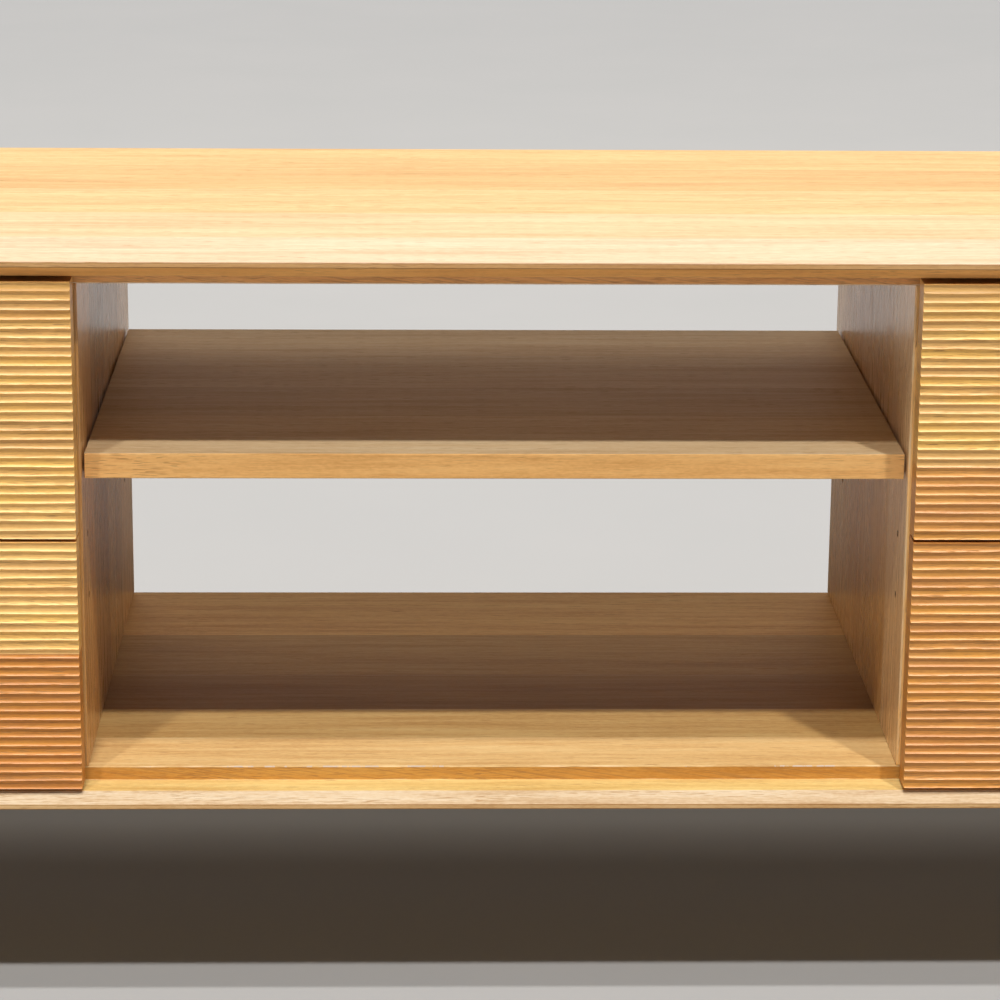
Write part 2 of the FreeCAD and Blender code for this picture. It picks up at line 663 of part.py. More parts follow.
def make_legs():
    """Four tapered legs, each bolted to a plate that is screwed under the case."""
    plates = []
    fixings = []
    glides = []
    plate_floor = f"({UNDERSIDE} - dims.plate_gauge)"
    for name, x, y in leg_places():
        leg = add("Part::Cone", name + "_taper")
        bind(leg, Radius1="dims.leg_foot_diameter / 2", Radius2="dims.leg_top_diameter / 2",
             Height="dims.leg_height - dims.plate_gauge - dims.glide_height")
        place(leg, x, y, "dims.glide_height")
        socket = rod(name + "_socket", "dims.leg_bolt_diameter", "dims.leg_bolt_bite",
                     x, y, f"{plate_floor} - dims.leg_bolt_bite")
        keep(cut(name + "_turned", leg, socket), name + "_leg")

        sheet = block(name + "_sheet", "dims.plate_side", "dims.plate_side", "dims.plate_gauge",
                      f"{x} - dims.plate_side / 2", f"{y} - dims.plate_side / 2", plate_floor)
        holes = [rod(name + "_bolt_hole", "dims.leg_bolt_diameter", "dims.plate_gauge", x, y, plate_floor)]
        fixings.append(rod(name + "_bolt", "dims.leg_bolt_diameter",
                           "dims.leg_bolt_bite + dims.plate_gauge", x, y,
                           f"{plate_floor} - dims.leg_bolt_bite"))
        for index, (screw_x, screw_y) in enumerate(plate_screw_places(x, y)):
            holes.append(rod(f"{name}_hole_{index}", "dims.screw_diameter", "dims.plate_gauge",
                             screw_x, screw_y, plate_floor))
            shank = rod(f"{name}_shank_{index}", "dims.screw_diameter",
                        "dims.plate_gauge + dims.plate_screw_bite", screw_x, screw_y, plate_floor)
            head = rod(f"{name}_head_{index}", "dims.screw_head_diameter", "dims.screw_head_height",
                       screw_x, screw_y, f"{plate_floor} - dims.screw_head_height")
            fixings.append(fuse(f"{name}_screw_{index}", shank, head))
        plates.append(cut(name + "_plate", sheet, *holes))
        glides.append(rod(name + "_glide", "dims.glide_diameter", "dims.glide_height", x, y))
    keep(group("plates", plates), "leg_plates")
    keep(group("fixings", fixings), "leg_bolts_and_screws")
    keep(group("glides", glides), "foot_glides")


# ---------------------------------------------------------------- assembly

make_case_panels()
for side, sign in SIDES.items():
    make_divider(side, sign)
make_case_joinery()
make_back_panels()
make_shelf()
for side, sign in SIDES.items():
    for level in DRAWER_LEVELS:
        make_fluted_front(f"{level}_{side}_drawer", sign, level)
        make_drawer_box(f"{level}_{side}_drawer", sign, level)
make_slides()
make_push_latches()
make_legs()
doc.recompute()

for obj in doc.Objects:
    if "Invalid" in obj.State or "Error" in obj.State:
        raise RuntimeError(f"{obj.Label} failed: {obj.State}")
for subpart in subparts:
    if subpart.Shape.isNull() or not subpart.Shape.isValid():
        raise RuntimeError(f"{subpart.Label} has no valid shape")

os.makedirs("parts", exist_ok=True)
for subpart in subparts:
    subpart.Shape.exportStep(f"parts/{subpart.Label}.step")
print(f"{len(subparts)} sub-parts written")
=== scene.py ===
import json
import math
import random

import bmesh
import bpy
from mathutils import Matrix, Vector, noise

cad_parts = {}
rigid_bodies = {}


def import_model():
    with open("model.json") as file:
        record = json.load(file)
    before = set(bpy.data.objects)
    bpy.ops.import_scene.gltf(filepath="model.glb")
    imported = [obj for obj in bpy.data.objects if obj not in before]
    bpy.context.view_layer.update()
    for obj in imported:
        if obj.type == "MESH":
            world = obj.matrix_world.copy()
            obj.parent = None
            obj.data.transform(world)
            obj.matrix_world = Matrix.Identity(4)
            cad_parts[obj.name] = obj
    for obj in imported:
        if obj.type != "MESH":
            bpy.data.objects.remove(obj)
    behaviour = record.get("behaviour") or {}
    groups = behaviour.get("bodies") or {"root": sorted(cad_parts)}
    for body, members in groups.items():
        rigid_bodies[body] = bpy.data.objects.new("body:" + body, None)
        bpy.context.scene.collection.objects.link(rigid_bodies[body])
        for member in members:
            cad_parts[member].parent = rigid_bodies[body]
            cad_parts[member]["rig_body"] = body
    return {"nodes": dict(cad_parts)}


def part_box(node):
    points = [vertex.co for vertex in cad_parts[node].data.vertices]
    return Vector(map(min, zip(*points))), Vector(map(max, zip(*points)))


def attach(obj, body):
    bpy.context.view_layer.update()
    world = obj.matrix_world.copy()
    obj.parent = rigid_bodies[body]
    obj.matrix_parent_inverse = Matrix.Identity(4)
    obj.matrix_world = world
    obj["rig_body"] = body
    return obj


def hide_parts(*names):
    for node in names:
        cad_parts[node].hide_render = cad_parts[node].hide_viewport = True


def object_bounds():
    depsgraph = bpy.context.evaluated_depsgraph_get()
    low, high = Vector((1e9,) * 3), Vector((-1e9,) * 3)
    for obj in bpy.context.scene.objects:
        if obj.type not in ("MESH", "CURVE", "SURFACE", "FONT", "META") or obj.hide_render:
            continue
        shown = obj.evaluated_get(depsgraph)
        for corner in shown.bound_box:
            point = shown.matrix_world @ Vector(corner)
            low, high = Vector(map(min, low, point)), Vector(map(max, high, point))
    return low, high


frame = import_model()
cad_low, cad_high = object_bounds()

# The looks of a low oak media cabinet: a mitred case on turned legs, two fluted drawers on each
# side and an open bay with a shelf in the middle. Metres, Z up, the front faces -Y.

MM = 0.001
X, Y, Z = 0, 1, 2
LEVELS = ("upper", "lower")
SIDES = ("left", "right")
DRAWERS = [f"{level}_{side}" for level in LEVELS for side in SIDES]

# The outer boards' front edge, as depths from the outer face and distances behind the front.
LIP_DEPTH = 3.5 * MM
BEVEL_RUN = 8.5 * MM
LEDGE_DEPTH = 11.0 * MM
BOARD_ARRIS = 0.9 * MM
CREASE_RADIUS = 0.8 * MM
LEDGE_RADIUS = 0.4 * MM
STEP_RADIUS = 0.3 * MM
# How far a plane leaves that edge uneven, and over what lengths. It is true at the mitres.
EDGE_DRIFT = 0.22 * MM
EDGE_WAVE = 90 * MM
DEPTH_WAVE = 60 * MM
MITRE_FADE = 40 * MM
# The strips of that edge, as the values of the mesh attribute facet, and half the least step
# between two of them.
MAIN, LIP, CREASE, BEVEL, LEDGE, STEP, SILL = 0.0, 0.1, 0.2, 0.4, 0.6, 0.8, 1.0
FACET_MARGIN = 0.05
# A CAD face smaller than this, in square metres, is the wall or the bottom of a drilled hole.
HOLE_FACE = 0.0001
# How far apart the mesh's sections lie along a board and along a drawer front.
BOARD_PITCH = 12 * MM
FRONT_PITCH = 6 * MM

# The fluted drawer fronts. A flute's outline is drawn at these shares of its height.
FLUTES = 28
FLUTE_PHASES = (0.0, 0.035, 0.12, 0.25, 0.4, 0.6, 0.75, 0.88, 0.965)
FLUTE_DEPTH = 1.6 * MM
RIDGE_FLAT = 0.05 * MM
FRONT_ARRIS = MM
FRONT_BACK_ARRIS = 0.8 * MM
# How far a ridge wanders up and down, in long and in short waves, and a flute in and out.
RIDGE_DRIFT = 0.40 * MM
RIDGE_WAVE = 60 * MM
RIDGE_RIPPLE = 20 * MM
DEPTH_DRIFT = 0.22 * MM
FLUTE_WAVE = 50 * MM

# The legs: the foot's diameter as a share of the top's, and the rounding of each end.
FOOT_SHARE = 13 / 21
FOOT_ARRIS = 1.8 * MM
LEG_TOP_ARRIS = 0.8 * MM
LEG_SIDES = 72


# ---------------------------------------------------------------- meshes

def rounded(corners, steps=4):
    """The points of a closed outline of (a, b, radius) corners, and for each point
    whether the side that starts there lies on a corner's arc, and that corner's number."""
    points = []
    on_arc = []
    corner = []
    for index, (a, b, radius) in enumerate(corners):
        here = Vector((a, b))
        if not radius:
            points.append(here)
            on_arc.append(False)
            corner.append(index)
            continue
        back = (Vector(corners[index - 1][:2]) - here).normalized()
        onward = (Vector(corners[(index + 1) % len(corners)][:2]) - here).normalized()
        half = back.angle(onward) / 2
        reach = radius / math.tan(half)
        centre = here + (back + onward).normalized() * radius / math.sin(half)
        start = here + back * reach - centre
        end = here + onward * reach - centre
        for step in range(steps + 1):
            points.append(centre + start.lerp(end, step / steps).normalized() * radius)
            on_arc.append(step < steps)
            corner.append(index)
    return points, on_arc, corner


def skin(rings, on_arc, facets):
    """A closed mesh through rings of points, capped at both ends. The face attribute
    arris is 1 on the soft edges that wear, which the creases don't, and facet tells the
    strips of a board's front edge apart."""
    bm = bmesh.new()
    arris = bm.faces.layers.float.new("arris")
    facet = bm.faces.layers.float.new("facet")
    rows = [[bm.verts.new(point) for point in ring] for ring in rings]
    for near, far in zip(rows, rows[1:]):
        for index, soft in enumerate(on_arc):
            following = (index + 1) % len(on_arc)
            face = bm.faces.new((near[index], near[following], far[following], far[index]))
            face[facet] = facets[index]
            face[arris] = float(soft and facets[index] != CREASE)
    bm.faces.new(rows[0])
    bm.faces.new(rows[-1])
    bmesh.ops.recalc_face_normals(bm, faces=bm.faces)
    return bm


def softened(node, radius):
    """A copy of a CAD node's mesh with clean flat faces and its long edges eased. Of its
    faces, the drilled holes are marked as sill and those to the front as lip."""
    same_place = 0.002 * MM
    same_plane = math.radians(0.5)
    shortest = 12 * MM
    sharpest = math.radians(30)
    bm = bmesh.new()
    bm.from_mesh(frame["nodes"][node].data)
    bmesh.ops.remove_doubles(bm, verts=bm.verts, dist=same_place)
    bmesh.ops.dissolve_limit(bm, angle_limit=same_plane, verts=bm.verts, edges=bm.edges)
    arris = bm.faces.layers.float.new("arris")
    facet = bm.faces.layers.float.new("facet")
    for face in bm.faces:
        if face.calc_area() < HOLE_FACE:
            face[facet] = SILL
        else:
            face[facet] = LIP if face.normal.y < -0.9 else MAIN
    edges = [
        edge for edge in bm.edges
        if edge.calc_length() > shortest and edge.calc_face_angle(0.0) > sharpest
    ]
    eased = bmesh.ops.bevel(
        bm, geom=edges, offset=radius, offset_type="OFFSET", segments=3,
        profile=0.5, affect="EDGES", clamp_overlap=False,
    )
    for face in eased["faces"]:
        face[arris] = 1.0
    return bm


def add_piece(name, bm, material, slot, *nodes):
    """Turns a bmesh into a shown piece that stands for CAD nodes and moves with their body."""
    mesh = bpy.data.meshes.new(name)
    bm.to_mesh(mesh)
    bm.free()
    mesh.materials.append(material)
    mesh.shade_smooth()
    mesh.set_sharp_from_angle(angle=math.radians(40))
    piece = bpy.data.objects.new(name, mesh)
    bpy.context.scene.collection.objects.link(piece)
    weighted = piece.modifiers.new("flat_faces_shade_flat", "WEIGHTED_NORMAL")
    weighted.keep_sharp = True
    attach(piece, frame["nodes"][nodes[0]]["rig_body"])
    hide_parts(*nodes)


def eased_depth(distance, radius):
    """How far a rounded corner lies under a flat face, at a distance from the corner."""
    if distance >= radius:
        return 0.0
    return radius - math.sqrt(radius ** 2 - (radius - max(distance, 0.0)) ** 2)


def stations(length, pitch, radius):
    """Places from 0 to 1 along a length: close together in the end roundings, else even."""
    end = [radius * share / length for share in (0.0, 0.1, 0.25, 0.45, 0.7, 1.0)]
    count = round(length / pitch)
    middle = [index / count for index in range(1, count)]
    return end + middle + [1 - place for place in reversed(end)]


def drift(place, seed, wavelength):
    """Smooth unevenness from -1 to 1 along a hand-finished edge."""
    return noise.noise(Vector((place / wavelength, seed * 7.31, seed * 1.7)))


def outer_board(node, outward, run, wave):
    """One of the four mitred boards. outward is the axis of its outer face and that face's
    side, run is the axis of its length, and wave seeds its unevenness."""
    low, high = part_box(node)
    divider_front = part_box("left_divider")[0].y
    front, back = low.y, high.y
    thickness = min(high.z - low.z, high.x - low.x)
    outline, on_arc, corner = rounded([
        (front, 0.0, BOARD_ARRIS),
        (front, LIP_DEPTH, CREASE_RADIUS),
        (front + BEVEL_RUN, LEDGE_DEPTH, LEDGE_RADIUS),
        (divider_front, LEDGE_DEPTH, STEP_RADIUS),
        (divider_front, thickness, BOARD_ARRIS),
        (back, thickness, BOARD_ARRIS),
        (back, 0.0, BOARD_ARRIS),
    ])
    # Each strip by the corner it starts from, and whether it is that corner's arc. The arris
    # along the outer face takes the crease's tint, which paints a dark line of shade there.
    strips = {
        (0, True): CREASE, (0, False): LIP, (1, True): CREASE, (1, False): BEVEL, (2, True): LEDGE,
        (2, False): LEDGE, (3, True): STEP, (3, False): STEP, (4, True): SILL,
    }
    facets = [strips.get(side, MAIN) for side in zip(corner, on_arc)]
    case_low, case_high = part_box("bottom_panel")[0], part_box("top_panel")[1]
    length = case_high[run] - case_low[run]
    face, sign = outward
    origin = Vector((0.0, 0.0, 0.0))
    origin[run] = case_low[run]
    origin[face] = case_high[face] if sign > 0 else case_low[face]
    mitre_ease = BOARD_ARRIS * (1 - math.sqrt(0.5))
    rings = []
    for place in stations(length, BOARD_PITCH, BOARD_ARRIS):
        ring = []
        for y, depth in outline:
            margin = max(depth, mitre_ease)
            along = margin + (length - 2 * margin) * place
            from_end = min(along, length - along)
            fade = min(1.0, max(0.0, from_end - thickness) / MITRE_FADE)
            near_front = y < divider_front + MM
            uneven = EDGE_DRIFT * fade * near_front
            inwards = 0.5 + 0.5 * drift(along, wave + depth, EDGE_WAVE)
            deeper = 0.5 + 0.5 * drift(along, wave + 3, DEPTH_WAVE)
            point = origin.copy()
            point[run] += along
            point.y = y + uneven * inwards
            depth = depth + uneven * deeper * (depth > MM)
            point[face] -= sign * max(depth, eased_depth(from_end, BOARD_ARRIS))
            ring.append(point)
        rings.append(ring)
    return skin(rings, on_arc, facets)


def flute_outline(height, front, back):
    """A drawer front's section as (z, y, ridge) points, where ridge is the ridge's number at
    the fluted face and None elsewhere, with whether each side lies on an eased edge."""
    pitch = height / FLUTES
    radius = (pitch ** 2 / 4 + FLUTE_DEPTH ** 2) / (2 * FLUTE_DEPTH)
    points = []
    for flute in range(FLUTES):
        for phase in FLUTE_PHASES:
            off_centre = (phase - 0.5) * pitch
            sag = math.sqrt(radius ** 2 - off_centre ** 2) - (radius - FLUTE_DEPTH)
            points.append(((flute + phase) * pitch, front + max(sag, RIDGE_FLAT), flute + phase))
    points.append((height, front + RIDGE_FLAT, FLUTES))
    # A ridge is worn on its upper side, and the first one above the bottom edge on both.
    on_arc = [ridge % 1 == 0.0 or ridge == FLUTE_PHASES[-1] for _, _, ridge in points]
    edge, soft, _ = rounded([
        (height, back, FRONT_BACK_ARRIS),
        (0.0, back, FRONT_BACK_ARRIS),
        (0.0, front, 0.0),
        (height, front, 0.0),
    ])
    points += [(z, y, None) for z, y in edge[:-2]]
    on_arc += soft[:-2]
    return points, on_arc


def fluted_board(node, seed):
    """A drawer front with long hollow flutes, a little uneven as a hand scraper leaves them.
    Its top edge, which lies in the gap above, is marked as ledge."""
    low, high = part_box(node)
    height, length = high.z - low.z, high.x - low.x
    outline, on_arc = flute_outline(height, low.y, high.y)
    rings = []
    for place in stations(length, FRONT_PITCH, FRONT_ARRIS):
        x = low.x + length * place
        from_end = min(x - low.x, high.x - x)
        ring = []
        for z, y, ridge in outline:
            if ridge is None:
                ring.append(Vector((x, y, low.z + z)))
                continue
            # Seeds 50 and 90 on keep the three kinds of unevenness apart.
            share = ridge - math.floor(ridge)
            shifts = [
                drift(x, seed + number, RIDGE_WAVE) + 0.5 * drift(x, seed + number + 50, RIDGE_RIPPLE)
                for number in (math.floor(ridge), math.floor(ridge) + 1)
            ]
            border = min(1.0, ridge, FLUTES - ridge)
            z += RIDGE_DRIFT * border * (shifts[0] * (1 - share) + shifts[1] * share)
            y += DEPTH_DRIFT * (0.5 + 0.5 * drift(x, seed + round(ridge) + 90, FLUTE_WAVE))
            rim = eased_depth(min(z, height - z), FRONT_ARRIS)
            y = max(y, low.y + eased_depth(from_end, FRONT_ARRIS) + rim)
            ring.append(Vector((x, y, low.z + min(max(z, 0.0), height))))
        rings.append(ring)
    facets = [MAIN] * len(outline)
    facets[FLUTES * len(FLUTE_PHASES)] = LEDGE
    return skin(rings, on_arc, facets)


def turned_leg(node):
    """A round leg, tapered towards the foot, with both ends eased."""
    low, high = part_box(node)
    centre = (low + high) / 2
    top_radius = (high.x - low.x) / 2
    foot_radius = top_radius * FOOT_SHARE
    outline, on_arc, _ = rounded([
        (0.0, low.z, 0.0),
        (foot_radius, low.z, FOOT_ARRIS),
        (top_radius, high.z, LEG_TOP_ARRIS),
        (0.0, high.z, 0.0),
    ], steps=5)
    side = outline[1:-1]
    soft = on_arc[1:-1]
    bm = bmesh.new()
    arris = bm.faces.layers.float.new("arris")
    rows = []
    for radius, z in side:
        ring = []
        for index in range(LEG_SIDES):
            angle = 2 * math.pi * index / LEG_SIDES
            place = (centre.x + radius * math.cos(angle), centre.y + radius * math.sin(angle), z)
            ring.append(bm.verts.new(place))
        rows.append(ring)
    for lower, upper, eased in zip(rows, rows[1:], soft):
        for index in range(LEG_SIDES):
            following = (index + 1) % LEG_SIDES
            face = bm.faces.new((lower[index], lower[following], upper[following], upper[index]))
            face[arris] = float(eased)
    bm.faces.new(rows[0])
    bm.faces.new(rows[-1])
    bmesh.ops.recalc_face_normals(bm, faces=bm.faces)
    return bm


# ---------------------------------------------------------------- materials

class Shader:
    """A node material while it is put together."""

    def __init__(self, name, **sockets):
        self.material = bpy.data.materials.new(name)
        self.material.use_nodes = True
        self.tree = self.material.node_tree
        self.surface = self.tree.nodes["Principled BSDF"]
        for socket, value in sockets.items():
            self.set(socket.replace("_", " "), value)

    def set(self, socket, value):
        """Gives one of the surface's sockets a value or another node's output."""
        self.feed(self.surface.inputs[socket], value)

    def feed(self, socket, value):
        if isinstance(value, bpy.types.NodeSocket):
            self.tree.links.new(value, socket)
        else:
            socket.default_value = value

    def add(self, kind, inputs, output=0, **settings):
        """Adds a node and returns one of its outputs."""
        node = self.tree.nodes.new("ShaderNode" + kind)
        for setting, value in settings.items():
            setattr(node, setting, value)
        for socket, value in inputs.items():
            self.feed(node.inputs[socket], value)
        return node.outputs[output]

    def math(self, operation, a, b=0.0, c=0.0):
        return self.add("Math", {0: a, 1: b, 2: c}, operation=operation)

    def place(self):
        """The object coordinates, in metres."""
        return self.add("TexCoord", {}, "Object")

    def axes(self):
        """The three object coordinates one by one."""
        node = self.tree.nodes.new("ShaderNodeSeparateXYZ")
        self.feed(node.inputs[0], self.place())
        return [node.outputs[axis] for axis in (X, Y, Z)]

    def attribute(self, name):
        """A face attribute of the mesh."""
        return self.add("Attribute", {}, "Fac", attribute_name=name)

    def noise(self, place, per_metre, detail=2.0, roughness=0.55):
        """Noise from 0 to 1 with so many features per metre along each axis."""
        scaled = self.add("VectorMath", {0: place, 1: per_metre}, operation="MULTIPLY")
        inputs = {"Vector": scaled, "Scale": 1.0, "Detail": detail, "Roughness": roughness}
        return self.add("TexNoise", inputs, "Fac")

    def spread(self, value, low, high, to_low=0.0, to_high=1.0):
        """Maps low..high to to_low..to_high smoothly, and holds it beyond."""
        inputs = {0: value, 1: low, 2: high, 3: to_low, 4: to_high}
        return self.add("MapRange", inputs, interpolation_type="SMOOTHSTEP")

    def mix(self, factor, first, second, blend="MIX"):
        inputs = {"Fac": factor, "Color1": first, "Color2": second}
        return self.add("MixRGB", inputs, blend_type=blend)

    def tinted(self, colour, tint):
        """A colour multiplied by another one."""
        return self.mix(1.0, colour, tint, "MULTIPLY")

    def ramp(self, factor, stops, interpolation="LINEAR"):
        """A colour for each factor, from (position, colour) stops."""
        node = self.tree.nodes.new("ShaderNodeValToRGB")
        self.feed(node.inputs[0], factor)
        node.color_ramp.interpolation = interpolation
        elements = node.color_ramp.elements
        elements.remove(elements[1])
        elements[0].position = stops[0][0]
        elements[0].color = (*stops[0][1], 1.0)
        for position, colour in stops[1:]:
            elements.new(position).color = (*colour, 1.0)
        return node.outputs[0]

    def bump(self, height, distance, strength):
        inputs = {"Height": height, "Distance": distance, "Strength": strength}
        self.set("Normal", self.add("Bump", inputs))


PLAIN = (1.0, 1.0, 1.0)
OAK_PALE = (0.82, 0.62, 0.35)
OAK_MID = (0.73, 0.50, 0.25)
OAK_DARK = (0.56, 0.335, 0.14)
OAK_PORE = (0.34, 0.17, 0.06)
OAK_WORN = (0.86, 0.68, 0.43)
OAK_CHIP = (0.55, 0.46, 0.38)
# The oak's features per metre along the grain, across it and through the board.
BEND_GRAIN = (1.6, 9.0, 9.0)
WANDER_GRAIN = (3.5, 6.0, 6.0)
BAND_GRAIN = (3.6, 60.0, 60.0)
STREAK_GRAIN = (8.0, 220.0, 220.0)
FIBRE_GRAIN = (45.0, 1700.0, 1700.0)
PORE_GRAIN = (75.0, 2300.0, 2300.0)
FLECK_GRAIN = (230.0, 900.0, 900.0)
SLANT_GRAIN = (14.0, 120.0, 1.0)
WEAR_GRAIN = (30.0, 120.0, 120.0)
KNOCK_GRAIN = (110.0, 60.0, 60.0)
# How much each of them darkens the wood, and the sum that gives the middle colour.
RING_SHARE = 0.09
BAND_SHARE = 0.55
STREAK_SHARE = 0.50
FIBRE_SHARE = 0.20
FLECK_SHARE = 0.28
FIGURE_MIDDLE = 0.83
FIGURE_REACH = 0.37
PORE_STRENGTH = 0.7
# How far apart in the log two staves can lie, along the grain, across it and through it.
LOG_SHIFT = (7.0, 3.0, 5.0)
# The growth rings, and how far to the side and how deep a stave's pith can lie, in metres.
RINGS_PER_METRE = 150.0
RING_BEND = 9.0
GRAIN_WANDER = 0.01
PITH_ASIDE = 0.08
PITH_DEPTH = 0.03
PITH_DEPTH_RANGE = 0.05
# What the wood in a flute is multiplied by: each one cuts the growth rings at another depth.
FLUTE_TINTS = [
    (0.0, (0.88, 0.86, 0.90)),
    (0.35, (1.05, 1.05, 1.06)),
    (0.65, (0.95, 0.95, 0.90)),
    (1.0, (1.05, 1.05, 0.82)),
]
# The stretches of the bay's sill, from one x to another, that are the most knocked about.
CHIPPED = [(-0.21, 0.0), (0.17, 0.27)]
CHIPPED_FADE = 0.04
SEAM = 0.45 * MM
SEAM_STRENGTH = 0.3
# A stave's tone from 0 to 1 goes from nearly white through the usual straw to orange.
STAVE_TINTS = [(0.0, (1.0, 1.08, 1.45)), (0.25, (0.98, 0.90, 0.70)), (1.0, (0.76, 0.47, 0.20))]


def stave_tint(tone, shade):
    """The colour that a stave's wood is multiplied by."""
    for (low, first), (high, second) in zip(STAVE_TINTS, STAVE_TINTS[1:]):
        if tone <= high:
            share = (tone - low) / (high - low)
            return tuple((a + (b - a) * share) * shade for a, b in zip(first, second))


def random_staves(count, seed, darkest=0.6):
    """Boards glued side by side: (start, tone, shade) for each."""
    draw = random.Random(seed)
    starts = [0.0]
    for index in range(1, count):
        starts.append((index + draw.uniform(-0.18, 0.18)) / count)
    return [(start, draw.uniform(0.25, darkest), draw.uniform(0.86, 1.0)) for start in starts]


def stave_draws(shader, share, staves, seed):
    """Two random numbers for the stave at this share of the board's width."""
    draw = random.Random(seed + 100)
    picks = [(start, (draw.random(), draw.random(), 0.0)) for start, _, _ in staves]
    picked = shader.tree.nodes.new("ShaderNodeSeparateColor")
    shader.feed(picked.inputs[0], shader.ramp(share, picks, "CONSTANT"))
    return picked.outputs[0], picked.outputs[1]


def growth_ring(shader, bend, from_middle, pith):
    """The place in a growth ring, from 0 to 1 and back to 0 in the next. The rings are shells
    round a pith that lies off the board."""
    off_side = shader.math("MULTIPLY_ADD", pith, -2 * PITH_ASIDE, PITH_ASIDE)
    side = shader.math("ADD", from_middle, off_side)
    deep = shader.math("MULTIPLY_ADD", pith, PITH_DEPTH_RANGE, PITH_DEPTH)
    side_squared = shader.math("MULTIPLY", side, side)
    deep_squared = shader.math("MULTIPLY", deep, deep)
    radius = shader.math("SQRT", shader.math("ADD", side_squared, deep_squared))
    rings = shader.math("MULTIPLY", radius, RINGS_PER_METRE)
    return shader.math("PINGPONG", shader.math("MULTIPLY_ADD", bend, RING_BEND, rings), 1.0)


def wood_figure(shader, place, ring):
    """How dark the grain makes the wood, with its streaks, its fibre and its pores."""
    band = shader.noise(place, BAND_GRAIN, detail=2.0, roughness=0.6)
    streak = shader.noise(place, STREAK_GRAIN, detail=3.0, roughness=0.65)
    fibre = shader.noise(place, FIBRE_GRAIN, detail=1.0)
    fleck = shader.noise(place, FLECK_GRAIN, detail=1.0)
    # The pores are dense where a ring begins and sparse where it ends.
    pores = shader.spread(shader.noise(place, PORE_GRAIN, detail=0.0), 0.62, 0.72)
    pore = shader.math("MULTIPLY", pores, shader.spread(ring, 0.75, 0.15, 0.25, 1.0))
    figure = shader.math("MULTIPLY_ADD", ring, RING_SHARE, shader.math("MULTIPLY", band, BAND_SHARE))
    figure = shader.math("MULTIPLY_ADD", streak, STREAK_SHARE, figure)
    figure = shader.math("MULTIPLY_ADD", fibre, FIBRE_SHARE, figure)
    figure = shader.math("MULTIPLY_ADD", fleck, FLECK_SHARE, figure)
    return figure, streak, fibre, pore


def flute_tint(shader, share, along, flutes):
    """The tint of the flute at this share of a front's height, which drifts along the flute."""
    number = shader.math("FLOOR", shader.math("MULTIPLY", share, float(flutes)))
    lane = shader.add("CombineXYZ", {0: along, 1: shader.math("MULTIPLY", number, 5.37)})
    hue = shader.spread(shader.noise(lane, (5.0, 1.0, 1.0), detail=1.0), 0.3, 0.7)
    return shader.ramp(hue, FLUTE_TINTS)


def glue_seams(shader, share, staves, thin):
    """1 on the seams between the staves and 0 elsewhere, for seams this thin at each side."""
    seams = [(0.0, (0.0,) * 3)]
    for start, _, _ in staves[1:]:
        seams += [(start - thin, (0.0,) * 3), (start, (1.0,) * 3), (start + thin, (0.0,) * 3)]
    return shader.ramp(share, seams)


def slanted_cut(shader, facet, along, through):
    """Dark slanted streaks on the step, which cuts the growth rings at a slant."""
    slope = shader.math("MULTIPLY_ADD", through, 6.0, along)
    slant = shader.add("CombineXYZ", {0: along, 1: slope})
    cut = shader.spread(shader.noise(slant, SLANT_GRAIN, detail=2.0), 0.47, 0.68, 0.0, 0.5)
    return shader.math("MULTIPLY", cut, shader.math("COMPARE", facet, STEP, FACET_MARGIN))


def worn_edges(shader, place, wear):
    """Where the soft edges are worn to bare pale wood."""
    sound = 0.62 - 0.4 * wear
    rubbed = shader.spread(shader.noise(place, WEAR_GRAIN, detail=3.0), sound, sound + 0.24)
    return shader.math("MULTIPLY", shader.math("MULTIPLY", shader.attribute("arris"), rubbed), wear)


def chipped_sill(shader, place, facet, along):
    """Where the sill's edge is chipped, mostly in the knocked stretches."""
    knocks = shader.noise(place, KNOCK_GRAIN, detail=3.0, roughness=0.75)
    used = 0.0
    for start, end in CHIPPED:
        after_start = shader.spread(along, start, start + CHIPPED_FADE)
        before_end = shader.spread(along, end, end - CHIPPED_FADE)
        used = shader.math("ADD", used, shader.math("MULTIPLY", after_start, before_end))
    knocks = shader.spread(shader.math("MULTIPLY_ADD", used, 0.16, knocks), 0.66, 0.71)
    on_sill = shader.math("GREATER_THAN", facet, (STEP + SILL) / 2)
    return shader.math("MULTIPLY", knocks, on_sill)


